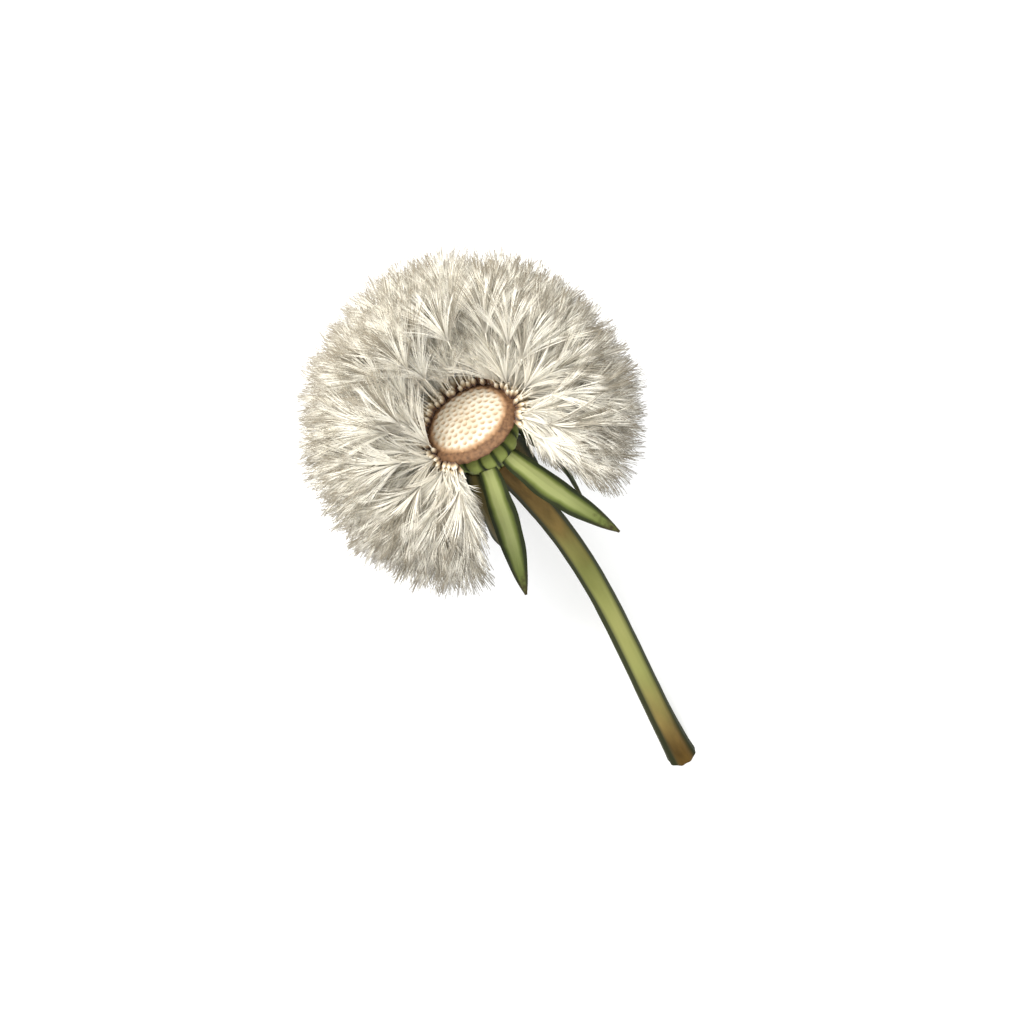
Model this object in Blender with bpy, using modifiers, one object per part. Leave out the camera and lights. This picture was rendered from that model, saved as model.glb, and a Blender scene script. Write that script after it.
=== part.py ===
"""A dandelion seed head, part of its seeds blown away, picked and lying on its side.

Metres, +Z up, standing on Z = 0. The stem runs along +X and the fluffy head is at -X. Everything on the head is
laid out in the head's own frame: local +Z is the head's axis, out of the bare face, and local +X is the upper side.
"""

import math

import bmesh
import bpy
from mathutils import Euler, Vector

# Where the head is and how it lies
HEAD_X = -0.02223
HEAD_Y = -0.00004
HEAD_HEIGHT = 0.0192
AXIS_RISE = math.radians(15.5)
FLOOR_SIZE = 0.3
STEM_LIFT = 0.00003

# The ball of seeds
BALL_RADIUS = 0.0197
BALL_PLACES = 62
BARE_STALK_SIDE = math.radians(42)
OPEN_SIDE = math.radians(47)
OPEN_SIDE_CAP = math.radians(31)
OPEN_SLICE = math.radians(29)

# One seed: achene, beak and pappus
ACHENE_LENGTH = 0.0032
ACHENE_RADIUS = 0.00045
BEAK_RADIUS = 0.00016
PAPPUS_RADIUS = 0.0036
PAPPUS_DEPTH = 0.0030
PAPPUS_EDGE = 0.0005
SEED_SIDES = 10

# Receptacle and involucre, turned round the head's axis
DISC_RADIUS = 0.0060
DISC_DOME = 0.0014
DISC_LIP = 0.0006
DISC_UNDERSIDE = 0.0019
CUP_RADIUS = 0.0043
CUP_BOTTOM = 0.0069
TURNED_SIDES = 32
TOUCHING_GAP = 0.0003

# Where the seeds stand: the ring's inner edge and how far round the lip they go, as turns from the head's axis
FOOT_RING = math.radians(52)
FOOT_SHARE = 0.36
FREE_ARC = math.radians(28)
FAR_SIDE_TILT = math.radians(55)

# Bracts: azimuth from the upper side and flare, in degrees, then length and the tip's sweep sideways. Feet: share of
# the cup's radius, and how far down the cup
BRACTS = (
    (-20, 20, 0.0172, -0.0030),
    (20, 24, 0.0172, 0.0036),
    (-53, 8, 0.0155, -0.0002),
    (95, 9, 0.0160, 0.0002),
    (-148, 9, 0.0150, -0.0003),
    (148, 7, 0.0156, 0.0003),
)
UPPER_BRACTS = 2
UPPER_FOOT = (1.0, 0.0037)
LOWER_FOOT = (0.93, 0.0045)
BRACT_WIDTH = 0.0042
BRACT_THICKNESS = 0.00045
BRACT_ROWS = 9

# Stem: a gentle bow sideways, and it comes down to rest its cut end on the floor
STEM_LENGTH = 0.0665
STEM_RADIUS = 0.00150
STEM_WALL = 0.00045
STEM_END_FLARE = 1.25
STEM_POINTS = 22

COLOURS = {
    "stem": (0.34, 0.37, 0.12),
    "receptacle": (0.84, 0.76, 0.60),
    "involucre": (0.17, 0.22, 0.05),
    "bract": (0.26, 0.31, 0.09),
    "seed": (0.82, 0.78, 0.66),
}


def clear_scene():
    for obj in list(bpy.data.objects):
        bpy.data.objects.remove(obj, do_unlink=True)


def new_collection(name, hidden=False):
    collection = bpy.data.collections.new(name)
    collection.hide_render = hidden
    bpy.context.scene.collection.children.link(collection)
    return collection


def matte(name, colour, roughness):
    material = bpy.data.materials.new(name)
    material.use_nodes = True
    shader = material.node_tree.nodes["Principled BSDF"]
    shader.inputs["Base Color"].default_value = (*colour, 1)
    shader.inputs["Roughness"].default_value = roughness
    shader.inputs["Metallic"].default_value = 0
    return material


def place(name, data, collection, material=None, parent=None):
    obj = bpy.data.objects.new(name, data)
    collection.objects.link(obj)
    obj.parent = parent
    if material:
        data.materials.append(material)
    return obj


def outline_mesh(name, points):
    """An open line of (radius, height) points, top to bottom, for a Screw to turn."""
    mesh = bpy.data.meshes.new(name)
    edges = [(i, i + 1) for i in range(len(points) - 1)]
    mesh.from_pydata([(r, 0, z) for r, z in points], edges, [])
    return mesh


def turned(name, points, sides, collection, material, parent):
    obj = place(name, outline_mesh(name, points), collection, material, parent)
    screw = obj.modifiers.new("turn", "SCREW")
    screw.steps = screw.render_steps = sides
    screw.use_merge_vertices = True
    screw.merge_threshold = 1e-6
    screw.use_smooth_shade = True
    return obj


def disc_edge(turn):
    """A point on the receptacle's skin, by its turn from the head's axis: the dome, then round under the lip."""
    depth = DISC_DOME if turn <= math.pi / 2 else DISC_LIP
    return DISC_RADIUS * math.sin(turn), depth * math.cos(turn)


def make_receptacle(collection, head):
    turns = [math.radians(a) for a in (15, 30, 45, 58, 70, 80, 90, 110, 135)]
    dome = [(0, DISC_DOME)] + [disc_edge(t) for t in turns]
    under = [(CUP_RADIUS * 0.86, -DISC_UNDERSIDE), (0, -DISC_UNDERSIDE)]
    material = matte("receptacle", COLOURS["receptacle"], 0.8)
    turned("receptacle", dome + under, TURNED_SIDES, collection, material, head)


def make_involucre(collection, head):
    top = -DISC_UNDERSIDE - TOUCHING_GAP
    points = [
        (0, top),
        (CUP_RADIUS * 0.88, top),
        (CUP_RADIUS, top - 0.0007),
        (CUP_RADIUS * 0.95, top - 0.0018),
        (CUP_RADIUS * 0.72, top - 0.0032),
        (STEM_RADIUS * 1.25, -CUP_BOTTOM + 0.0005),
        (STEM_RADIUS * 0.95, -CUP_BOTTOM),
        (0, -CUP_BOTTOM),
    ]
    turned("involucre", points, TURNED_SIDES, collection, matte("involucre", COLOURS["involucre"], 0.6), head)


def bract_width(along):
    """Half the blade's width: broad near the foot, then drawn out to a point."""
    return BRACT_WIDTH / 2 * (0.50 + 1.8 * along) * (1 - along) ** 0.62 if along < 1 else 0.0


def bract_mesh(name, foot_place, flare, length, sweep):
    """A narrow blade from the cup's side, bent out and back along the stem, folded a little along its middle."""
    bm = bmesh.new()
    bmesh.ops.create_grid(bm, x_segments=2, y_segments=BRACT_ROWS, size=0.5)
    share, down = foot_place
    foot = Vector((CUP_RADIUS * share + TOUCHING_GAP + BRACT_THICKNESS, 0, -down))
    step = length / BRACT_ROWS
    spine = [(foot, math.radians(flare) + 0.25)]
    for row in range(BRACT_ROWS):
        along = (row + 0.5) / BRACT_ROWS
        lean = math.radians(flare) + 0.30 * (0.75 - 1.7 * along)
        spine.append((spine[-1][0] + step * Vector((math.sin(lean), 0, -math.cos(lean))), lean))
    for vert in bm.verts:
        row = round((vert.co.y + 0.5) * BRACT_ROWS)
        side = round(vert.co.x * 2)
        centre, lean = spine[row]
        half = max(bract_width(row / BRACT_ROWS), 0.00018)
        outward = Vector((math.cos(lean), 0, math.sin(lean)))
        across = side * half + sweep * (row / BRACT_ROWS) ** 1.5
        vert.co = centre + Vector((0, across, 0)) - outward * abs(side) * half * 0.30
    bmesh.ops.recalc_face_normals(bm, faces=bm.faces)
    mesh = bpy.data.meshes.new(name)
    bm.to_mesh(mesh)
    bm.free()
    return mesh


def make_bracts(collection, head):
    material = matte("bract", COLOURS["bract"], 0.55)
    for number, (azimuth, flare, length, sweep) in enumerate(BRACTS, 1):
        name = f"bract_{number}"
        foot_place = UPPER_FOOT if number <= UPPER_BRACTS else LOWER_FOOT
        mesh = bract_mesh(name, foot_place, flare, length, sweep)
        bract = place(name, mesh, collection, material, head)
        bract.rotation_euler = Euler((0, 0, math.radians(azimuth)))
        wall = bract.modifiers.new("thickness", "SOLIDIFY")
        wall.thickness = BRACT_THICKNESS
        wall.offset = 0
        soft = bract.modifiers.new("soft", "SUBSURF")
        soft.levels = soft.render_levels = 1


def stem_point(along):
    """The middle of the stem, in the object's frame: out of the cup, bowed to the side, down on to the floor."""
    out = CUP_BOTTOM + TOUCHING_GAP + along * (STEM_LENGTH - CUP_BOTTOM)
    drop_at_end = HEAD_HEIGHT - STEM_RADIUS * STEM_END_FLARE - STEM_LIFT
    droop = STEM_LENGTH * math.sin(AXIS_RISE) - drop_at_end
    sideways = 0.0030 * math.sin(math.pi * along) * (1 - along) - 0.0020 * along**2.2
    return Vector((
        HEAD_X + out * math.cos(AXIS_RISE),
        HEAD_Y + sideways,
        HEAD_HEIGHT - out * math.sin(AXIS_RISE) + droop * along**2,
    ))


def stem_width(along):
    """The stem's radius as a share of STEM_RADIUS: fuller at both ends."""
    top = 0.10 * math.exp(-along * 14)
    return 1 + top + (STEM_END_FLARE - 1) * math.exp((along - 1) * 12)


def make_stem(collection):
    curve = bpy.data.curves.new("stem", "CURVE")
    curve.dimensions = "3D"
    curve.bevel_depth = STEM_RADIUS
    curve.bevel_resolution = 2
    spline = curve.splines.new("POLY")
    spline.points.add(STEM_POINTS - 1)
    for number, point in enumerate(spline.points):
        along = number / (STEM_POINTS - 1)
        point.co = (*stem_point(along), 1)
        point.radius = stem_width(along)
    stem = place("stem", curve, collection, matte("stem", COLOURS["stem"], 0.5))
    wall = stem.modifiers.new("hollow", "SOLIDIFY")
    wall.thickness = STEM_WALL
    wall.offset = -1
    return stem


def direction(place_number):
    """Even places over the whole ball, one golden angle apart, in the head's frame."""
    height = 1 - 2 * (place_number + 0.5) / BALL_PLACES
    turn = place_number * math.pi * (3 - math.sqrt(5))
    across = math.sqrt(1 - height * height)
    return Vector((across * math.cos(turn), across * math.sin(turn), height))


def still_there(way):
    """Blown away: the open upper side, and a slice from there down to the stem. None grow by the stem."""
    if way.angle(Vector((0, 0, -1))) < BARE_STALK_SIDE:
        return False
    open_way = Vector((math.sin(OPEN_SIDE), 0, math.cos(OPEN_SIDE)))
    slice_way = Vector((math.cos(OPEN_SIDE), 0, -math.sin(OPEN_SIDE)))
    if way.angle(open_way) < OPEN_SIDE_CAP:
        return False
    slice_turn = math.atan2(way.y, way.dot(slice_way))
    return abs(slice_turn) > OPEN_SLICE


def seed_foot(way):
    """Where a seed stands: in the outer ring of the disc, further under the lip the further back it points.

    The bare face is wide, so the seeds that point straight out stand on the ring's far side, away from the open side.
    The ring itself is bare where the slice is missing, so every foot is moved round from the middle of that arc.
    """
    tilt = way.angle(Vector((0, 0, 1)))
    across, height = disc_edge(FOOT_RING + tilt * FOOT_SHARE)
    away = 0.6 * max(0, 1 - tilt / FAR_SIDE_TILT)
    turn = math.atan2(way.y, way.x - away)
    turn = math.copysign(FREE_ARC + abs(turn) * (1 - FREE_ARC / math.pi), turn)
    flat = Vector((math.cos(turn), math.sin(turn), 0))
    return flat * across + Vector((0, 0, height)) + way * (TOUCHING_GAP + 0.00012)


def seed_outline(length):
    hub = length - PAPPUS_DEPTH
    return [
        (0, hub + PAPPUS_EDGE * 1.6),
        (PAPPUS_RADIUS * 0.55, length - PAPPUS_DEPTH * 0.30),
        (PAPPUS_RADIUS, length),
        (PAPPUS_RADIUS, length - PAPPUS_EDGE),
        (PAPPUS_RADIUS * 0.58, length - PAPPUS_DEPTH * 0.30 - PAPPUS_EDGE * 1.3),
        (BEAK_RADIUS, hub - PAPPUS_EDGE),
        (BEAK_RADIUS, ACHENE_LENGTH),
        (ACHENE_RADIUS, ACHENE_LENGTH * 0.62),
        (0, 0),
    ]


def make_seeds(collection, head, floor):
    material = matte("seed", COLOURS["seed"], 0.9)
    ways = [w for w in map(direction, range(BALL_PLACES)) if still_there(w)]
    to_world = Euler((0, AXIS_RISE - math.pi / 2, 0)).to_matrix()
    for number, way in enumerate(ways, 1):
        foot = seed_foot(way)
        along = way * BALL_RADIUS - foot
        name = f"seed_{number:02d}"
        seed = turned(name, seed_outline(along.length), SEED_SIDES, collection, material, head)
        seed.location = foot
        seed.rotation_euler = along.to_track_quat("Z", "X").to_euler()
        lowest = HEAD_HEIGHT + (to_world @ way).z * BALL_RADIUS - PAPPUS_RADIUS
        if lowest < 0:
            rest = seed.modifiers.new("flattened on the floor", "BOOLEAN")
            rest.operation = "DIFFERENCE"
            rest.object = floor
    return len(ways)


def make_floor(collection):
    bpy.ops.mesh.primitive_cube_add(size=FLOOR_SIZE, location=(0, 0, -FLOOR_SIZE / 2))
    floor = bpy.context.object
    floor.name = "floor_cutter"
    floor.hide_render = True
    floor.display_type = "WIRE"
    for owner in list(floor.users_collection):
        owner.objects.unlink(floor)
    collection.objects.link(floor)
    return floor


def main():
    clear_scene()
    parts = new_collection("dandelion_seed_head")
    cutters = new_collection("cutters", hidden=True)
    floor = make_floor(cutters)
    head = bpy.data.objects.new("head", None)
    parts.objects.link(head)
    head.location = (HEAD_X, HEAD_Y, HEAD_HEIGHT)
    head.rotation_euler = Euler((0, AXIS_RISE - math.pi / 2, 0))
    make_receptacle(parts, head)
    make_involucre(parts, head)
    make_bracts(parts, head)
    make_stem(parts)
    print(make_seeds(parts, head, floor), "seeds left on the head")


main()
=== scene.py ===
import math
import random

import bmesh
import bpy
from mathutils import Matrix, Vector, noise
from mathutils.kdtree import KDTree


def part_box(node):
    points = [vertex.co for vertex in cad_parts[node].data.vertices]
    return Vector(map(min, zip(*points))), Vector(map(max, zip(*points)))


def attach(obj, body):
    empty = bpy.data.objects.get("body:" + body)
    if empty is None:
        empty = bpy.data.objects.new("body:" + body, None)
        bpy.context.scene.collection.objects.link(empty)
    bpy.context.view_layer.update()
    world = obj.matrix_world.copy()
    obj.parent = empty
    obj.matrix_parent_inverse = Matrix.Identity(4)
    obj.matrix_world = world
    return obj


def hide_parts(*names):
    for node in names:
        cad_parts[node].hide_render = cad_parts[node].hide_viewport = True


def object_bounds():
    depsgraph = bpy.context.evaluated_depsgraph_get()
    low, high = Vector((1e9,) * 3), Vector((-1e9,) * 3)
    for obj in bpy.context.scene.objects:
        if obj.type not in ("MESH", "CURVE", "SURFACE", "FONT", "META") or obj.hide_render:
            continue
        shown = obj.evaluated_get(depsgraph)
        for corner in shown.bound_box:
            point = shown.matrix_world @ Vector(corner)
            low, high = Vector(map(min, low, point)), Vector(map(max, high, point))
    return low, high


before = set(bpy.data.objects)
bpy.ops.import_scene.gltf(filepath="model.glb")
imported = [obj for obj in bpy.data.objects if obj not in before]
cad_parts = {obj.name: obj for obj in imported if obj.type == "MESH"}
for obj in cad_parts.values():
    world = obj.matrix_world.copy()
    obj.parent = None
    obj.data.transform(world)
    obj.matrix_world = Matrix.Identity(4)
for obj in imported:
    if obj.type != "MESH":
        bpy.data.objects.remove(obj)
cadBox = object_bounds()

mm = 0.001
golden = math.pi * (3 - math.sqrt(5))
dice = random.Random(7)
floorHeight = cadBox[0].z

# The head has a frame of its own: z runs out of the bare disc, x to the upper side.
headPose = {"rise": 15.5, "discAlong": 0.352 * mm, "discUp": -0.098 * mm}
rise = math.radians(headPose["rise"])
headOut = Vector((-math.cos(rise), 0, math.sin(rise)))
headUp = Vector((math.sin(rise), 0, math.cos(rise)))
discLow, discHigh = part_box("receptacle")
headMiddle = (discLow + discHigh) / 2 + headOut * headPose["discAlong"] + headUp * headPose["discUp"]
headTurn = Matrix((headUp, Vector((0, 1, 0)), headOut)).transposed()
headPlace = Matrix.Translation(headMiddle) @ headTurn.to_4x4()


def paint(red, green, blue):
    # 0 to 255 display values to the linear colour that a shader takes
    shares = [c / 255 for c in (red, green, blue)]
    return tuple(((c + 0.055) / 1.055) ** 2.4 if c > 0.04 else c / 12.92 for c in shares) + (1,)


def smooth(value, low, high):
    share = min(max((value - low) / (high - low), 0), 1)
    return share * share * (3 - 2 * share)


# stemTurn is how far the stem leans from level in the view, frameWidth what the frame spans at the head
viewing = {"elevation": 62.5, "stemTurn": 55, "distance": 0.5, "frameWidth": 0.1198,
           "across": 4.8 * mm, "down": 10.3 * mm, "sensor": 36}


def makeCamera():
    up = math.radians(viewing["elevation"])
    turn = math.radians(viewing["stemTurn"])
    back = Vector((-math.cos(up), 0, math.sin(up)))
    stemWay = Vector((math.sin(up), 0, math.cos(up)))
    side = Vector((0, 1, 0))
    right = stemWay * math.cos(turn) + side * math.sin(turn)
    top = side * math.cos(turn) - stemWay * math.sin(turn)
    camera = bpy.data.objects.new("camera", bpy.data.cameras.new("camera"))
    camera.data.sensor_width = viewing["sensor"]
    camera.data.lens = viewing["sensor"] * viewing["distance"] / viewing["frameWidth"]
    camera.data.clip_start = 0.01
    place = headMiddle + back * viewing["distance"] + right * viewing["across"] - top * viewing["down"]
    camera.matrix_world = Matrix.Translation(place) @ Matrix((right, top, back)).transposed().to_4x4()
    bpy.context.scene.collection.objects.link(camera)
    bpy.context.scene.camera = camera
    print("camera ready")


studio = {"world": 0.95, "floorSize": 1.5, "floorGap": 0.05 * mm, "floorGlow": 0.12}
lamps = {
    "keyLight": {"place": (-0.54, -0.09, 0.36), "size": 0.34, "power": 6.5, "tint": (1.0, 0.97, 0.92)},
    "topLight": {"place": (0.05, 0.10, 0.70), "size": 0.60, "power": 1.2, "tint": (0.96, 0.98, 1.0)},
}


def makeLamp(name, place, size, power, tint):
    lamp = bpy.data.lights.new(name, "AREA")
    lamp.shape = "DISK"
    lamp.size = size
    lamp.energy = power
    lamp.color = tint
    lampObject = bpy.data.objects.new(name, lamp)
    lampObject.location = headMiddle + Vector(place)
    lampObject.rotation_mode = "QUATERNION"
    lampObject.rotation_quaternion = (-Vector(place)).to_track_quat("-Z", "Y")
    bpy.context.scene.collection.objects.link(lampObject)


def makeStudio():
    world = bpy.data.worlds.new("studio")
    world.use_nodes = True
    backdrop = world.node_tree.nodes["Background"]
    backdrop.inputs["Color"].default_value = (1, 1, 1, 1)
    backdrop.inputs["Strength"].default_value = studio["world"]
    bpy.context.scene.world = world
    for name, lamp in lamps.items():
        makeLamp(name, **lamp)
    bpy.context.scene.view_settings.view_transform = "Standard"
    print("lights ready:", len(lamps))


def makeFloor():
    bm = bmesh.new()
    bmesh.ops.create_grid(bm, x_segments=8, y_segments=8, size=studio["floorSize"])
    bmesh.ops.translate(bm, verts=bm.verts, vec=(0, 0, floorHeight - studio["floorGap"]))
    finishPiece(bm, "floor", paperFloor())
    print("floor ready")


def newMaterial(name, roughness, specular=0.5):
    material = bpy.data.materials.new(name)
    material.use_nodes = True
    shader = material.node_tree.nodes["Principled BSDF"]
    shader.inputs["Roughness"].default_value = roughness
    shader.inputs["Specular IOR Level"].default_value = specular
    return material, material.node_tree, shader


def ramp(tree, value, stops):
    node = tree.nodes.new("ShaderNodeValToRGB")
    bands = node.color_ramp.elements
    while len(bands) < len(stops):
        bands.new(0.5)
    for band, (place, tint) in zip(bands, stops):
        band.position = place
        band.color = tint
    tree.links.new(value, node.inputs["Fac"])
    return node.outputs["Color"]


def grey(level):
    return (level, level, level, 1)


def fade(tree, value, low, high, most=1.0):
    # a mask: 0 up to low, most from high on
    return ramp(tree, value, [(low, grey(0)), (high, grey(most))])


def mixColours(tree, share, first, second):
    node = tree.nodes.new("ShaderNodeMix")
    node.data_type = "RGBA"
    shareSocket, firstSocket, secondSocket = 0, 6, 7
    for socket, value in ((shareSocket, share), (firstSocket, first), (secondSocket, second)):
        if isinstance(value, tuple):
            node.inputs[socket].default_value = value
        else:
            tree.links.new(value, node.inputs[socket])
    return node.outputs[2]


def maths(tree, work, *values):
    node = tree.nodes.new("ShaderNodeMath")
    node.operation = work
    for socket, value in enumerate(values):
        if isinstance(value, (float, int)):
            node.inputs[socket].default_value = value
        else:
            tree.links.new(value, node.inputs[socket])
    return node.outputs[0]


def unsettle(tree, value, cloud, amount):
    # moves a mask's edge to and fro by a noise
    return maths(tree, "ADD", value, maths(tree, "MULTIPLY_ADD", cloud, amount, -amount / 2))


def attribute(tree, name):
    node = tree.nodes.new("ShaderNodeAttribute")
    node.attribute_name = name
    return node.outputs["Fac"]


def mottleGroup():
    # two noises on the object's own coordinates, one coarse and one five times finer
    group = bpy.data.node_groups.get("mottle")
    if group:
        return group
    group = bpy.data.node_groups.new("mottle", "ShaderNodeTree")
    face = group.interface
    face.new_socket("Scale", in_out="INPUT", socket_type="NodeSocketFloat")
    face.new_socket("Stretch", in_out="INPUT", socket_type="NodeSocketVector")
    face.new_socket("Coarse", in_out="OUTPUT", socket_type="NodeSocketFloat")
    face.new_socket("Fine", in_out="OUTPUT", socket_type="NodeSocketFloat")
    into = group.nodes.new("NodeGroupInput")
    out = group.nodes.new("NodeGroupOutput")
    where = group.nodes.new("ShaderNodeTexCoord")
    stretch = group.nodes.new("ShaderNodeVectorMath")
    stretch.operation = "MULTIPLY"
    group.links.new(where.outputs["Object"], stretch.inputs[0])
    group.links.new(into.outputs["Stretch"], stretch.inputs[1])
    for socket, times, detail in (("Coarse", 1.0, 3.0), ("Fine", 5.0, 5.0)):
        cloud = group.nodes.new("ShaderNodeTexNoise")
        cloud.inputs["Detail"].default_value = detail
        scale = maths(group, "MULTIPLY", into.outputs["Scale"], times)
        group.links.new(scale, cloud.inputs["Scale"])
        group.links.new(stretch.outputs[0], cloud.inputs["Vector"])
        group.links.new(cloud.outputs["Fac"], out.inputs[socket])
    return group


def mottle(tree, scale, stretch=(1, 1, 1)):
    node = tree.nodes.new("ShaderNodeGroup")
    node.node_tree = mottleGroup()
    node.inputs["Scale"].default_value = scale
    node.inputs["Stretch"].default_value = stretch
    return node.outputs["Coarse"], node.outputs["Fine"]


def bumpFrom(tree, shader, height, distance, strength):
    node = tree.nodes.new("ShaderNodeBump")
    node.inputs["Strength"].default_value = strength
    node.inputs["Distance"].default_value = distance
    tree.links.new(height, node.inputs["Height"])
    tree.links.new(node.outputs["Normal"], shader.inputs["Normal"])


def paperFloor():
    material, tree, shader = newMaterial("paperFloor", 0.9)
    coarse, fine = mottle(tree, 30)
    tint = ramp(tree, coarse, [(0.3, (0.90, 0.90, 0.895, 1)), (0.7, grey(0.93))])
    tree.links.new(tint, shader.inputs["Base Color"])
    shader.inputs["Emission Color"].default_value = (1, 1, 1, 1)
    shader.inputs["Emission Strength"].default_value = studio["floorGlow"]
    bumpFrom(tree, shader, fine, 0.1 * mm, 0.2)
    return material


def toMesh(bm, name):
    mesh = bpy.data.meshes.new(name)
    bm.to_mesh(mesh)
    bm.free()
    return mesh


def finishPiece(bm, name, material, place=None):
    if place:
        bmesh.ops.transform(bm, matrix=place, verts=bm.verts)
    mesh = toMesh(bm, name)
    mesh.materials.append(material)
    mesh.shade_smooth()
    piece = bpy.data.objects.new(name, mesh)
    bpy.context.scene.collection.objects.link(piece)
    return piece


def standFor(piece, node):
    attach(piece, "root")
    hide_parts(node)


def thicken(piece, thickness, offset, rounding):
    wall = piece.modifiers.new("wall", "SOLIDIFY")
    wall.thickness = thickness
    wall.offset = offset
    edge = piece.modifiers.new("roundEdge", "BEVEL")
    edge.width = rounding
    edge.segments = 2
    edge.limit_method = "ANGLE"


def spunProfile(points, steps):
    # a closed body turned about z from a list of (radius, height)
    bm = bmesh.new()
    line = [bm.verts.new((r, 0, z)) for r, z in points]
    edges = [bm.edges.new(pair) for pair in zip(line, line[1:])]
    bmesh.ops.spin(bm, geom=line + edges, cent=(0, 0, 0), axis=(0, 0, 1), dvec=(0, 0, 0),
                   angle=2 * math.pi, steps=steps, use_merge=True)
    bmesh.ops.remove_doubles(bm, verts=bm.verts, dist=0.002 * mm)
    bmesh.ops.recalc_face_normals(bm, faces=bm.faces)
    return bm


def subdivideAlong(bm, cuts):
    # cuts the edges that run up a cone of depth 1
    lengthwise = [e for e in bm.edges if abs(e.verts[0].co.z - e.verts[1].co.z) > 0.5]
    bmesh.ops.subdivide_edges(bm, edges=lengthwise, cuts=cuts)


# The bare disc that the seeds grew on: a low dome with a pit for each lost seed, brown and rough at its edge.
disc = {"radius": 6.0 * mm, "dome": 1.4 * mm, "lip": 0.6 * mm, "underside": 1.9 * mm,
        "faceRadius": 5.8 * mm, "pits": 104, "pitRadius": 0.37 * mm, "pitDepth": 0.22 * mm,
        "pittedTo": 4.9 * mm,
        "pitsFade": (4.6 * mm, 5.4 * mm), "pitRim": 0.05 * mm, "pitRimAt": 1.15, "pitRimWidth": 0.10 * mm,
        "pitJitter": 0.05 * mm, "edgeFade": (3.5 * mm, 5.5 * mm),
        "domeRings": 48, "rimStep": 9, "rimRings": 5, "steps": 240,
        "rough": 0.05 * mm, "roughScale": 900, "lobes": 0.16 * mm, "lobeScale": 1500}
# tan is painted shade for the part of the dome's edge that falls away; rimDeep and rim are the disc's own
# brown
discPaint = {"creamDeep": paint(200, 189, 168), "cream": paint(216, 208, 191), "pit": paint(166, 142, 112),
             "tan": paint(166, 132, 98), "rimDeep": paint(82, 56, 34), "rim": paint(122, 88, 58)}


def receptacleMaterial():
    material, tree, shader = newMaterial("receptacleSkin", 0.75)
    coarse, fine = mottle(tree, 400)
    cream = ramp(tree, coarse, [(0.35, discPaint["creamDeep"]), (0.6, discPaint["cream"])])
    pitted = mixColours(tree, attribute(tree, "pit"), cream, discPaint["pit"])
    rim = ramp(tree, fine, [(0.35, discPaint["rimDeep"]), (0.65, discPaint["rim"])])
    # towards the edge: first a tan band of painted shade, then the disc's own brown rim
    edgeShadeAndRim = unsettle(tree, attribute(tree, "edge"), coarse, 0.5)
    tan = mixColours(tree, fade(tree, edgeShadeAndRim, 0.25, 0.6), pitted, discPaint["tan"])
    tint = mixColours(tree, fade(tree, edgeShadeAndRim, 0.62, 0.85), tan, rim)
    tree.links.new(tint, shader.inputs["Base Color"])
    bumpFrom(tree, shader, fine, 0.06 * mm, 0.6)
    return material


def discEdge(turn):
    # a point of the disc's outline, turn counted from the top of the dome
    depth = disc["dome"] if turn <= math.pi / 2 else disc["lip"]
    return disc["radius"] * math.sin(turn), depth * math.cos(turn)


def pitPlaces():
    pits = KDTree(disc["pits"])
    for i in range(disc["pits"]):
        loose = dice.uniform(-disc["pitJitter"], disc["pitJitter"])
        out = disc["pittedTo"] * math.sqrt((i + 0.5) / disc["pits"]) + loose
        turn = i * golden
        pits.insert((out * math.cos(turn), out * math.sin(turn), 0), i)
    pits.balance()
    return pits


def makeReceptacle():
    rings = disc["domeRings"]
    rows = [discEdge(math.asin(i / rings)) for i in range(rings + 1)]
    rows += [discEdge(math.radians(90 + disc["rimStep"] * (i + 1))) for i in range(disc["rimRings"])]
    rows += [(share * cup["radius"], -disc["underside"]) for share in (0.86, 0.4, 0)]
    bm = spunProfile(rows, disc["steps"])
    pits = pitPlaces()
    pitLayer = bm.verts.layers.float.new("pit")
    edgeLayer = bm.verts.layers.float.new("edge")
    for vert in bm.verts:
        out = Vector((vert.co.x, vert.co.y, 0))
        far = out.length
        rough = noise.noise(vert.co * disc["roughScale"])
        onFace = vert.co.z > 0
        vert[edgeLayer] = smooth(far, *disc["edgeFade"]) if onFace else 1.0
        if onFace and far < disc["faceRadius"]:
            gap = pits.find(out)[2]
            deep = 1 - smooth(gap, 0.25 * disc["pitRadius"], disc["pitRadius"])
            vert[pitLayer] = deep * (1 - smooth(far, *disc["pitsFade"]))
            ridge = math.exp(-((gap - disc["pitRadius"] * disc["pitRimAt"]) / disc["pitRimWidth"]) ** 2)
            vert.co.z += disc["pitRim"] * ridge + disc["rough"] * rough - disc["pitDepth"] * deep
        elif far > 1 * mm:
            lobe = disc["lobes"] * noise.noise(vert.co * disc["lobeScale"])
            vert.co += out.normalized() * lobe + Vector((0, 0, 2 * disc["rough"] * rough))
    piece = finishPiece(bm, "receptacleDisc", receptacleMaterial(), headPlace)
    standFor(piece, "receptacle")
    print("receptacle ready:", disc["pits"], "pits")


def leafMaterial(name, paints):
    # across is 0 on the midrib and 1 at the edge, along is 0 at the foot and 1 at the tip; the darkening
    # towards the curled edges, and in the cup's grooves, that is drawn from across is painted shade
    material, tree, shader = newMaterial(name, 0.7, 0.15)
    coarse, fine = mottle(tree, 260)
    along = attribute(tree, "along")
    dark, middle, light = paints["dark"], paints["middle"], paints["light"]
    paintedShadeAcross = unsettle(tree, attribute(tree, "across"), coarse, 0.36)
    innerHalf = ramp(tree, paintedShadeAcross, [(0.0, light), (0.32, light), (0.50, middle), (0.76, dark)])
    outerHalf = ramp(tree, paintedShadeAcross, [(0.0, middle), (0.34, middle), (0.70, dark)])
    body = mixColours(tree, fade(tree, along, 0.50, 0.82), innerHalf, outerHalf)
    aged = fade(tree, unsettle(tree, along, fine, 0.5), 0.78, 1.0)
    tree.links.new(mixColours(tree, aged, body, paints["dry"]), shader.inputs["Base Color"])
    bumpFrom(tree, shader, fine, 0.05 * mm, 0.5)
    return material


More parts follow.
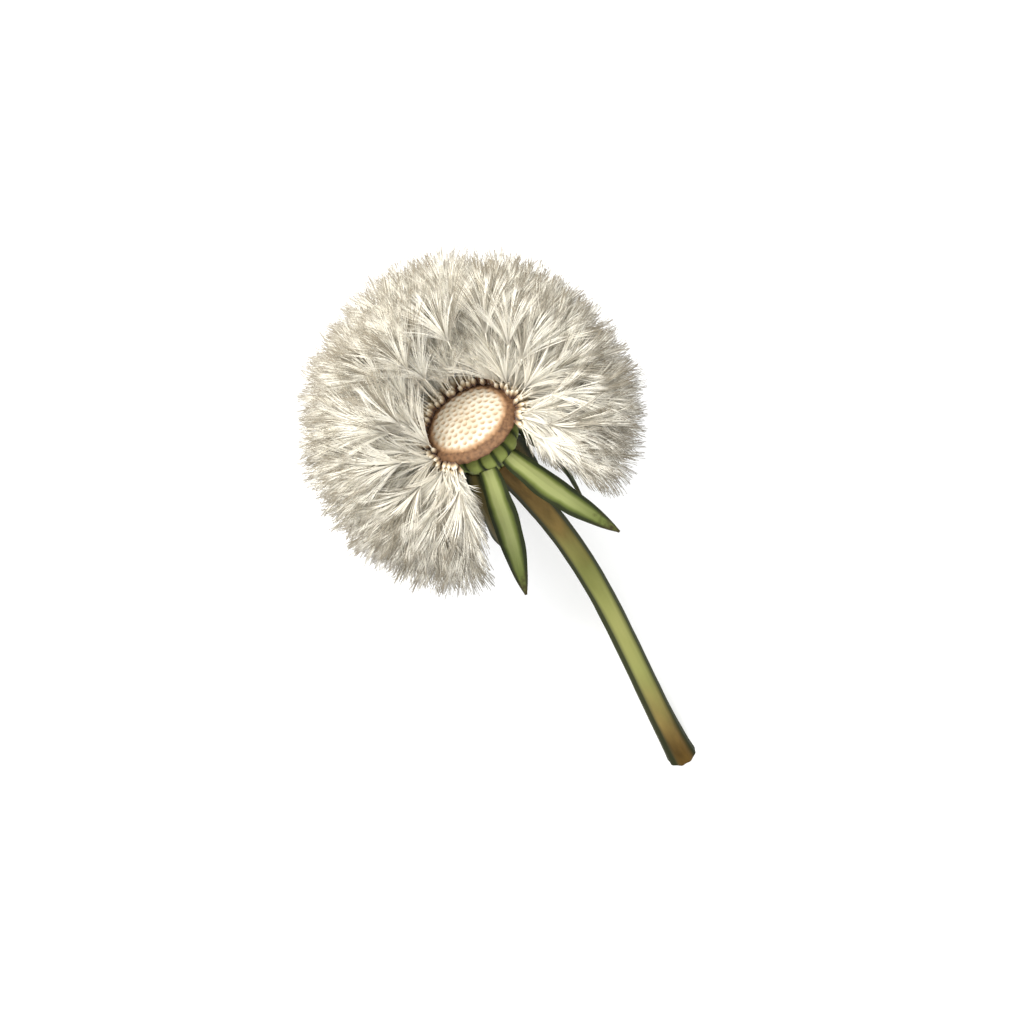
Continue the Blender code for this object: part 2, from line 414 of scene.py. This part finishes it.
# The cup under the disc, where the feet of the bracts have grown together into ribs.
cup = {"radius": 4.3 * mm, "swell": 1.09, "top": 2.02 * mm, "bottom": 6.9 * mm,
       "ribs": 13, "ribDepth": 0.16, "ribDrift": 0.35, "ribShade": 0.9, "along": 0.1,
       "lumps": 0.02, "lumpScale": 1200, "steps": 156}
cupPaint = {"dark": paint(58, 68, 34), "middle": paint(120, 130, 66), "light": paint(140, 150, 82),
            "dry": paint(86, 76, 44)}
# share of the cup's radius, and how far below its top
cupOutline = [(0, 0), (0.55, 0), (0.86, 0), (0.97, 0.3), (1.0, 0.8), (0.98, 1.4), (0.92, 2.0), (0.80, 2.7),
              (0.66, 3.4), (0.54, 4.0), (0.395, 4.58), (0.372, 5.08), (0.256, 5.13), (0, 5.13)]


def makeInvolucre():
    bm = spunProfile([(r * cup["radius"], -cup["top"] - down * mm) for r, down in cupOutline], cup["steps"])
    across = bm.verts.layers.float.new("across")
    along = bm.verts.layers.float.new("along")
    for vert in bm.verts:
        turn = math.atan2(vert.co.y, vert.co.x)
        height = (vert.co.z + cup["top"]) / (cup["top"] - cup["bottom"])
        rib = abs(math.sin(turn * cup["ribs"] / 2 + cup["ribDrift"] * math.sin(3 * turn)))
        share = math.sin(math.pi * min(max(height, 0), 1)) ** 0.7
        flat = Vector((vert.co.x, vert.co.y, 0))
        # the grooves between the ribs get a high across, which the skin paints dark as painted shade
        vert[across] = 1 - rib * cup["ribShade"]
        vert[along] = cup["along"]
        vert.co += flat * (cup["swell"] - 1) * share
        vert.co -= flat * cup["ribDepth"] * (1 - rib) ** 2 * share
        vert.co += flat * cup["lumps"] * noise.noise(vert.co * cup["lumpScale"])
    piece = finishPiece(bm, "involucreCup", leafMaterial("involucreSkin", cupPaint), headPlace)
    standFor(piece, "involucre")
    print("involucre ready:", cup["ribs"], "ribs")


bractShape = {"width": 3.9 * mm, "thickness": 0.30 * mm, "rows": 48, "columns": 12, "fold": 0.30,
              "upperFoot": (1.0, 3.7 * mm), "lowerFoot": (0.93, 4.5 * mm), "upperCount": 2,
              "footLean": 0.25, "arch": 0.30, "wobble": 0.05, "footWidth": 0.55, "bulge": 1.9, "taper": 0.92,
              "tipWidth": 0.10 * mm, "wave": 0.10, "waveTurns": 21, "rib": 0.10 * mm, "ribWidth": 0.16,
              "veins": 0.010 * mm, "veinTurns": 22, "rounding": 0.08 * mm}
# azimuth from the upper side and flare in degrees, length and the tip's sweep to one side in millimetres, and
# whether the bract takes the darker painted shade colours as one lying in shadow behind the others
bractList = [
    {"azimuth": -20, "flare": 20, "length": 17.2, "sweep": -3.0, "paintedShade": False},
    {"azimuth": 20, "flare": 24, "length": 17.2, "sweep": 3.6, "paintedShade": False},
    {"azimuth": -53, "flare": 8, "length": 15.5, "sweep": -0.2, "paintedShade": True},
    {"azimuth": 95, "flare": 9, "length": 16.0, "sweep": 0.2, "paintedShade": False},
    {"azimuth": -148, "flare": 9, "length": 15.0, "sweep": -0.3, "paintedShade": False},
    {"azimuth": 148, "flare": 7, "length": 15.6, "sweep": 0.3, "paintedShade": True},
]
bractPaint = {"dark": paint(38, 44, 22), "middle": paint(98, 108, 54), "light": paint(138, 144, 92),
              "dry": paint(62, 56, 30)}
# a darker, browner copy of the bract colours: painted shade for the bracts that lie in shadow behind
paintedShadeBractPaint = {"dark": paint(38, 42, 22), "middle": paint(64, 62, 34), "light": paint(92, 82, 46),
                 "dry": paint(62, 50, 28)}


def bractSpine(number, flare, length):
    # the midrib's points from foot to tip, each with its lean from the stem's line
    rows = bractShape["rows"]
    foot = "upperFoot" if number <= bractShape["upperCount"] else "lowerFoot"
    footShare, footDown = bractShape[foot]
    point = Vector((cup["radius"] * footShare + bractShape["thickness"] / 2, 0, -footDown))
    spine = [(point, math.radians(flare) + bractShape["footLean"])]
    for row in range(rows):
        share = (row + 0.5) / rows
        arch = bractShape["arch"] * (0.75 - 1.7 * share)
        lean = math.radians(flare) + arch + bractShape["wobble"] * math.sin(9 * share + number)
        point = point + length * mm / rows * Vector((math.sin(lean), 0, -math.cos(lean)))
        spine.append((point, lean))
    return spine


def makeBract(number, azimuth, flare, length, sweep, material):
    bm = bmesh.new()
    rows = bractShape["rows"]
    bmesh.ops.create_grid(bm, x_segments=bractShape["columns"], y_segments=rows, size=0.5)
    across = bm.verts.layers.float.new("across")
    along = bm.verts.layers.float.new("along")
    spine = bractSpine(number, flare, length)
    for vert in bm.verts:
        row = round((vert.co.y + 0.5) * rows)
        side = vert.co.x * 2
        edge = abs(side)
        share = row / rows
        middle, lean = spine[row]
        swell = bractShape["footWidth"] + bractShape["bulge"] * share
        wide = bractShape["width"] * swell * max(1 - share, 0) ** bractShape["taper"]
        half = max(wide, bractShape["tipWidth"]) / 2
        phase = share * bractShape["waveTurns"] + number * 2 + (1.3 if side > 0 else 0)
        wave = bractShape["wave"] * math.sin(phase) * smooth(edge, 0.5, 1)
        curl = wave - edge ** 1.6 * bractShape["fold"]
        rib = bractShape["rib"] * math.exp(-((side / bractShape["ribWidth"]) ** 2)) * (1 - share)
        veins = bractShape["veins"] * math.cos(side * bractShape["veinTurns"]) * (1 - smooth(edge, 0.75, 1))
        outward = Vector((math.cos(lean), 0, math.sin(lean)))
        vert[across] = edge
        vert[along] = share
        vert.co = middle + outward * (curl * half + rib + veins)
        vert.co.y += side * half + sweep * mm * share ** 1.5
    bmesh.ops.recalc_face_normals(bm, faces=bm.faces)
    turned = headPlace @ Matrix.Rotation(math.radians(azimuth), 4, "Z")
    piece = finishPiece(bm, f"bractBlade{number}", material, turned)
    thicken(piece, bractShape["thickness"], 0, bractShape["rounding"])
    standFor(piece, f"bract_{number}")


def makeBracts():
    leafSkin = leafMaterial("bractSkin", bractPaint)
    paintedShadeLeafSkin = leafMaterial("paintedShadeBractSkin", paintedShadeBractPaint)
    for number, bract in enumerate(bractList, 1):
        # bracts lying in shadow behind take the painted shade copy of the skin
        skin = paintedShadeLeafSkin if bract["paintedShade"] else leafSkin
        makeBract(number, bract["azimuth"], bract["flare"], bract["length"], bract["sweep"], skin)
    print("bracts ready:", len(bractList))


# A hollow stem that droops from the cup to the floor, bows to one side and ends in a ragged cut.
stalk = {"length": 66.5 * mm, "radius": 1.50 * mm, "wall": 0.42 * mm, "rings": 150, "sides": 60,
         "startGap": 0.1 * mm, "bow": 3.0 * mm, "hook": 2.0 * mm, "hookPower": 2.2,
         "topSwell": 0.10, "topFade": 14, "endFlare": 1.25, "endFade": 12,
         "ribs": 9, "ribDepth": 0.035, "twist": 2.2, "lumps": 0.03, "lumpScale": 16,
         "ragged": 0.006, "raggedFrom": 0.97, "raggedScale": 2.2, "rounding": 0.09 * mm}
# flank and underside are painted shade for the stem's sides and lower half, with the top line left light
stemPaint = {"greenDeep": paint(104, 106, 54), "green": paint(140, 142, 82),
             "greenPale": paint(160, 158, 98),
             "brownDeep": paint(90, 66, 34), "brown": paint(126, 98, 54),
             "endDeep": paint(62, 47, 18), "end": paint(96, 73, 30),
             "paintedShadeFlank": paint(34, 40, 18), "underside": paint(72, 78, 40)}


def stemMaterial():
    # along is 0 at the cup and 1 at the cut, sides is 0 on the top line and 1 underneath; the dark flanks and
    # darker underside laid by sides are painted shade
    material, tree, shader = newMaterial("stemSkin", 0.7, 0.1)
    coarse, fine = mottle(tree, 120, (0.25, 1, 1))
    along = attribute(tree, "along")
    green = ramp(tree, coarse, [(0.3, stemPaint["greenDeep"]), (0.5, stemPaint["green"]),
                                (0.7, stemPaint["greenPale"])])
    brown = ramp(tree, fine, [(0.3, stemPaint["brownDeep"]), (0.7, stemPaint["brown"])])
    end = ramp(tree, fine, [(0.3, stemPaint["endDeep"]), (0.7, stemPaint["end"])])
    browned = ramp(tree, unsettle(tree, along, coarse, 0.3),
                   [(0.0, grey(1)), (0.20, grey(0.8)), (0.32, grey(0)),
                    (0.70, grey(0)), (0.86, grey(0.7)), (1.0, grey(1))])
    body = mixColours(tree, browned, green, brown)
    body = mixColours(tree, fade(tree, along, 0.86, 0.97), body, end)
    sides = attribute(tree, "sides")
    # painted shade: dark on the flanks and olive underneath, as if the lower half of the stem lay in shadow
    paintedShadeMask = fade(tree, unsettle(tree, sides, coarse, 0.16), 0.05, 0.17, 0.95)
    paintedShadeTint = ramp(tree, sides, [(0.45, stemPaint["paintedShadeFlank"]), (0.70, stemPaint["underside"])])
    tree.links.new(mixColours(tree, paintedShadeMask, body, paintedShadeTint), shader.inputs["Base Color"])
    bumpFrom(tree, shader, fine, 0.05 * mm, 0.4)
    return material


def stemPoint(share):
    out = cup["bottom"] + stalk["startGap"] + share * (stalk["length"] - cup["bottom"])
    height = headMiddle.z - floorHeight
    droop = stalk["length"] * math.sin(rise) - (height - stalk["radius"] * stalk["endFlare"])
    bow = stalk["bow"] * math.sin(math.pi * share) * (1 - share)
    hook = stalk["hook"] * max(share, 0) ** stalk["hookPower"]
    down = out * math.sin(rise) - droop * share * share
    return headMiddle + Vector((out * math.cos(rise), bow - hook, -down))


def stemWidth(share):
    swell = stalk["topSwell"] * math.exp(-share * stalk["topFade"])
    flare = (stalk["endFlare"] - 1) * math.exp((share - 1) * stalk["endFade"])
    return stalk["radius"] * (1 + swell + flare)


def stemAxes(share):
    # sideways and upward directions, square to the stem's line
    ahead = min(share + 0.004, 1)
    forward = (stemPoint(ahead) - stemPoint(ahead - 0.008)).normalized()
    sideways = Vector((0, 0, 1)).cross(forward).normalized()
    return sideways, forward.cross(sideways)


def makeStem():
    bm = bmesh.new()
    bmesh.ops.create_cone(bm, cap_ends=False, segments=stalk["sides"], radius1=1, radius2=1, depth=1)
    subdivideAlong(bm, stalk["rings"] - 1)
    along = bm.verts.layers.float.new("along")
    sides = bm.verts.layers.float.new("sides")
    for vert in bm.verts:
        share = vert.co.z + 0.5
        turn = math.atan2(vert.co.y, vert.co.x)
        around = Vector((math.cos(turn), math.sin(turn), 0))
        cut = stalk["ragged"] * noise.noise(around * stalk["raggedScale"])
        cut *= smooth(share, stalk["raggedFrom"], 1)
        sideways, upward = stemAxes(share)
        rib = 1 + stalk["ribDepth"] * math.sin(stalk["ribs"] * turn + stalk["twist"] * share)
        lump = 1 + stalk["lumps"] * noise.noise(Vector((share * stalk["lumpScale"], around.x, around.y)))
        vert[along] = share
        vert[sides] = 0.5 - 0.5 * around.y
        wide = stemWidth(share) * rib * lump
        vert.co = stemPoint(min(share, 1) + cut) + (sideways * around.x + upward * around.y) * wide
        vert.co.z = max(vert.co.z, floorHeight)
    bmesh.ops.recalc_face_normals(bm, faces=bm.faces)
    turnOutwards(bm, along)
    piece = finishPiece(bm, "stemTube", stemMaterial())
    thicken(piece, stalk["wall"], -1, stalk["rounding"])
    standFor(piece, "stem")
    print("stem ready")


def turnOutwards(bm, along):
    # an open tube's recalculated normals may point in, and then its wall would grow outwards
    bm.faces.ensure_lookup_table()
    face = bm.faces[len(bm.faces) // 2]
    share = sum(v[along] for v in face.verts) / len(face.verts)
    if face.normal.dot(face.calc_center_median() - stemPoint(share)) < 0:
        bmesh.ops.reverse_faces(bm, faces=bm.faces)


# Where the seeds stand, with angles in degrees. The opening runs over the disc and down to the stem on the
# upper side: openSide turns its middle from the disc's axis, openCap and openSlice are its half widths.
ball = {"cadPlaces": 62, "bareStalkSide": 42, "openSide": 47, "openCap": 31, "openSlice": 29, "jitter": 2.2,
        "fan": 34, "fanFade": (35, 95), "overDisc": 6.5 * mm, "hairSlack": 3,
        "footTurn": 52, "footShare": 0.36, "crowding": 0.6, "crowdedTo": 55, "freeArc": 28}
outerLayer = {"reach": 20.0 * mm, "spread": 0.5 * mm, "places": 230}
# shorter beaks round the opening, which fill the inside of the ball
innerLayer = {"reach": 14.1 * mm, "spread": 3.1 * mm, "places": 420, "tilt": (34, 100), "sliceSlack": 2}


def openAxes():
    side = math.radians(ball["openSide"])
    openWay = Vector((math.sin(side), 0, math.cos(side)))
    sliceWay = Vector((math.cos(side), 0, -math.sin(side)))
    return openWay, sliceWay


def directionOf(number, places):
    height = 1 - 2 * (number + 0.5) / places
    turn = number * golden
    across = math.sqrt(1 - height * height)
    return Vector((across * math.cos(turn), across * math.sin(turn), height))


def offSlice(way, slack=0):
    sliceTurn = math.atan2(way.y, way.dot(openAxes()[1]))
    return abs(sliceTurn) > math.radians(ball["openSlice"] - slack)


def stillThere(way):
    openWay = openAxes()[0]
    overStem = way.angle(Vector((0, 0, -1))) < math.radians(ball["bareStalkSide"])
    inCap = way.angle(openWay) < math.radians(ball["openCap"])
    return not overStem and not inCap and offSlice(way)


def roundOpening(way):
    nearest, furthest = innerLayer["tilt"]
    tilt = math.degrees(way.angle(openAxes()[0]))
    return nearest < tilt < furthest and offSlice(way, innerLayer["sliceSlack"])


def waysOf(places, wanted):
    return [way for way in (directionOf(i, places) for i in range(places)) if wanted(way)]


def seedFoot(way):
    # on the disc's edge, with the upper part of the edge left free
    tilt = way.angle(Vector((0, 0, 1)))
    across, height = discEdge(math.radians(ball["footTurn"]) + tilt * ball["footShare"])
    away = ball["crowding"] * max(0, 1 - tilt / math.radians(ball["crowdedTo"]))
    turn = math.atan2(way.y, way.x - away)
    freeArc = math.radians(ball["freeArc"])
    turn = math.copysign(freeArc + abs(turn) * (1 - freeArc / math.pi), turn)
    return Vector((across * math.cos(turn), across * math.sin(turn), height))


def fanTurn(line):
    # leans a tuft near the opening towards it
    openWay = openAxes()[0]
    tilt = math.degrees(line.angle(openWay))
    lean = math.radians(ball["fan"]) * (1 - smooth(tilt, *ball["fanFade"]))
    return Matrix.Rotation(lean, 4, openWay.cross(line))


# One seed: achene, beak and pappus. Each clump of hairs has one tone, from 0, dark, to 0.8, bright.
nut = {"length": 1.9 * mm, "radius": 0.30 * mm, "ribs": 5, "ribDepth": 0.14, "mapRow": 0.95,
       "beakFrom": 0.97, "beakFoot": 0.075 * mm, "beakTip": 0.05625 * mm, "beakOverlap": 0.1 * mm}
tuft = {"clumps": 15, "hairs": 8, "length": 7.8 * mm, "spread": 43, "bend": 0.35,
        "root": 0.037 * mm, "tip": 0.03145 * mm, "inClump": 0.05, "hub": 0.93, "rootBend": 0.6,
        "clumpLean": (0.88, 1.10), "clumpTurn": 0.25, "clumpLength": (0.90, 1.05), "hairLength": (0.93, 1.03),
        "hairBend": (0.5, 1.2), "hairTone": 0.05, "lift": 0.05 * mm, "pileUp": 0.03,
        "outerKinds": 8, "outerTones": (0.0, 0.06, 0.30, 0.50, 0.65, 0.74),
        # the inner tufts leave out the dark tones: painted light that brightens the shaded inside of the ball
        "innerKinds": 3, "innerPaintedLightTones": (0.30, 0.50, 0.65, 0.74)}
hairPaint = {
    "bright": paint(254, 251, 240),
    "middle": paint(246, 241, 227),
    "shade": paint(138, 129, 110),
    "root": paint(246, 240, 224),
    # tip is painted shade for the darker fringe at the ball's outer edge
    "tip": paint(128, 119, 101),
    "acheneFoot": paint(112, 76, 48),
    "acheneTop": paint(192, 172, 138),
}


def pappusMaterial():
    # on the seed's own map, across is from foot to tip and up is the tone, with achenes above 0.8
    material, tree, shader = newMaterial("pappusAndAchene", 0.55)
    mapNode = tree.nodes.new("ShaderNodeUVMap")
    mapNode.uv_map = "OFBake"
    split = tree.nodes.new("ShaderNodeSeparateXYZ")
    tree.links.new(mapNode.outputs["UV"], split.inputs[0])
    along, tone = split.outputs["X"], split.outputs["Y"]
    toned = ramp(tree, tone, [(0.0, hairPaint["shade"]), (0.28, hairPaint["middle"]),
                              (0.7, hairPaint["bright"])])
    hair = mixColours(tree, fade(tree, along, 0.0, 0.25), hairPaint["root"], toned)
    # painted shade: the last part of each hair turns taupe, so that the ball's edge reads darker
    hair = mixColours(tree, fade(tree, along, 0.80, 0.98), hair, hairPaint["tip"])
    achene = ramp(tree, along, [(0.40, hairPaint["acheneFoot"]), (0.75, hairPaint["acheneTop"]),
                                (1.0, hairPaint["root"])])
    isAchene = maths(tree, "GREATER_THAN", tone, 0.8)
    tree.links.new(mixColours(tree, isAchene, hair, achene), shader.inputs["Base Color"])
    shader.inputs["Sheen Weight"].default_value = 0.15
    return material


def newSeedMesh():
    bm = bmesh.new()
    bm.loops.layers.uv.new("OFBake")
    return bm


def paintMap(bm, faces, tone, length):
    layer = bm.loops.layers.uv.verify()
    for face in faces:
        for loop in face.loops:
            loop[layer].uv = (loop.vert.co.z / length, tone)


def rodMesh(name, segments, foot, tip, cuts):
    # a thin rod from 0 to 1 up z
    bm = newSeedMesh()
    bmesh.ops.create_cone(bm, cap_ends=True, segments=segments, radius1=foot, radius2=tip, depth=1,
                          matrix=Matrix.Translation((0, 0, 0.5)))
    subdivideAlong(bm, cuts)
    paintMap(bm, bm.faces, 0.3, 4)
    return toMesh(bm, name)


def nutMesh():
    shape = [(0, 0), (0.35, 0.06), (0.80, 0.30), (1.0, 0.62), (0.86, 0.80), (0.45, 0.93), (0.22, 1), (0, 1)]
    bm = spunProfile([(r * nut["radius"], z * nut["length"]) for r, z in shape], 2 * nut["ribs"])
    for vert in bm.verts:
        ridge = 1 + nut["ribDepth"] * math.cos(nut["ribs"] * math.atan2(vert.co.y, vert.co.x))
        vert.co.x *= ridge
        vert.co.y *= ridge
    bm.loops.layers.uv.new("OFBake")
    paintMap(bm, bm.faces, nut["mapRow"], nut["length"])
    return toMesh(bm, "nutKind")


def addCopy(bm, mesh, matrix):
    before = len(bm.verts)
    bm.from_mesh(mesh)
    bm.verts.ensure_lookup_table()
    fresh = bm.verts[before:]
    bmesh.ops.transform(bm, matrix=matrix, verts=fresh)
    return fresh


def tuftKind(kind, hair, tones):
    # a pappus whose hairs meet at the origin, in clumps on a spiral with a lean and length of their own
    chance = random.Random(100 + kind)
    bm = newSeedMesh()
    for clump in range(tuft["clumps"]):
        share = math.sqrt((clump + 0.5) / tuft["clumps"])
        clumpLean = math.radians(tuft["spread"]) * (0.10 + 0.90 * share) * chance.uniform(*tuft["clumpLean"])
        clumpTurn = clump * golden + chance.uniform(-tuft["clumpTurn"], tuft["clumpTurn"])
        clumpTone = chance.choice(tones)
        clumpLength = tuft["length"] * chance.uniform(*tuft["clumpLength"])
        for _ in range(tuft["hairs"]):
            faceCount = len(bm.faces)
            verts = addCopy(bm, hair, Matrix.Identity(4))
            bm.faces.ensure_lookup_table()
            paintMap(bm, bm.faces[faceCount:], clumpTone + chance.uniform(0, tuft["hairTone"]), 1)
            lean = clumpLean + chance.gauss(0, tuft["inClump"])
            length = clumpLength * chance.uniform(*tuft["hairLength"])
            bend = tuft["bend"] * chance.uniform(*tuft["hairBend"])
            turn = clumpTurn + chance.gauss(0, tuft["inClump"]) / max(math.sin(lean), 0.15)
            swing = Matrix.Rotation(turn, 3, "Z")
            for vert in verts:
                reach = vert.co.z
                angle = lean - bend * (1 - reach) * tuft["rootBend"]
                line = Vector((math.sin(angle), 0, math.cos(angle))) * reach * length
                vert.co = swing @ (line + Vector((vert.co.x, vert.co.y, 0)))
    return toMesh(bm, f"tuftKind{kind}")


def hairsInTheWay(verts, hairSize):
    # the hairs whose tips would hang in the opening or over the disc
    back = headPlace.inverted()
    openWay, sliceWay = openAxes()
    sliceEdge = math.tan(math.radians(ball["openSlice"] - ball["hairSlack"]))
    gone = []
    for first in range(0, len(verts), hairSize):
        hair = verts[first:first + hairSize]
        tip = max((back @ v.co for v in hair), key=lambda p: p.length)
        out, high, wide = tip.dot(sliceWay), tip.dot(openWay), abs(tip.y)
        inSlice = out > 0 and wide < out * sliceEdge
        overDisc = high > 0 and math.hypot(out, wide) < ball["overDisc"]
        if inSlice or overDisc:
            gone += hair
    return gone


def layOnFloor(verts):
    lowest = floorHeight + tuft["lift"]
    for vert in verts:
        if vert.co.z < lowest:
            vert.co.z = lowest + tuft["pileUp"] * (floorHeight - vert.co.z)


def addSeed(bm, way, layer, kinds, nutKind, beakKind):
    # stands one seed on the disc, and returns its hairs
    loose = Vector((dice.gauss(0, 1), dice.gauss(0, 1), dice.gauss(0, 1))) * math.radians(ball["jitter"])
    way = (way + loose).normalized()
    foot = seedFoot(way)
    line = way * (layer["reach"] + dice.uniform(-layer["spread"], layer["spread"])) - foot
    along = line.normalized()
    turn = line.to_track_quat("Z", "X").to_matrix().to_4x4()
    spin = Matrix.Rotation(dice.uniform(0, 6.28), 4, "Z")
    start = foot + along * nut["length"] * nut["beakFrom"]
    hub = foot + along * (line.length - tuft["length"] * tuft["hub"])
    stretch = Matrix.Scale((hub - start).length + nut["beakOverlap"], 4, (0, 0, 1))
    addCopy(bm, nutKind, headPlace @ Matrix.Translation(foot) @ turn @ spin)
    addCopy(bm, beakKind, headPlace @ Matrix.Translation(start) @ turn @ spin @ stretch)
    place = headPlace @ Matrix.Translation(hub) @ fanTurn(line) @ turn @ spin
    return addCopy(bm, dice.choice(kinds), place)


def makeSeeds():
    cadWays = waysOf(ball["cadPlaces"], stillThere)
    groups = [[] for _ in cadWays]
    for layer, wanted in ((outerLayer, stillThere), (innerLayer, roundOpening)):
        for way in waysOf(layer["places"], wanted):
            nearest = max(range(len(cadWays)), key=lambda i: cadWays[i].dot(way))
            groups[nearest].append((way, layer))
    hair = rodMesh("hair", 3, tuft["root"], tuft["tip"], 3)
    beakKind = rodMesh("beakKind", 5, nut["beakFoot"], nut["beakTip"], 4)
    nutKind = nutMesh()
    outerCount = tuft["outerKinds"]
    allCount = outerCount + tuft["innerKinds"]
    outerKinds = [tuftKind(kind, hair, tuft["outerTones"]) for kind in range(outerCount)]
    innerKinds = [tuftKind(kind, hair, tuft["innerPaintedLightTones"]) for kind in range(outerCount, allCount)]
    print("kinds of tuft ready:", allCount)
    material = pappusMaterial()
    hairSize = len(hair.vertices)
    for number, seeds in enumerate(groups, 1):
        bm = newSeedMesh()
        gone = []
        for way, layer in seeds:
            kinds = outerKinds if layer is outerLayer else innerKinds
            hairs = addSeed(bm, way, layer, kinds, nutKind, beakKind)
            gone += hairsInTheWay(hairs, hairSize)
            layOnFloor(hairs)
        bmesh.ops.delete(bm, geom=gone, context="VERTS")
        standFor(finishPiece(bm, f"seedTuft{number:02d}", material), f"seed_{number:02d}")
    for mesh in outerKinds + innerKinds + [hair, nutKind, beakKind]:
        bpy.data.meshes.remove(mesh)
    print("seeds ready:", sum(len(seeds) for seeds in groups), "in", len(groups), "pieces")


makeCamera()
makeStudio()
makeFloor()
makeReceptacle()
makeInvolucre()
makeBracts()
makeStem()
makeSeeds()
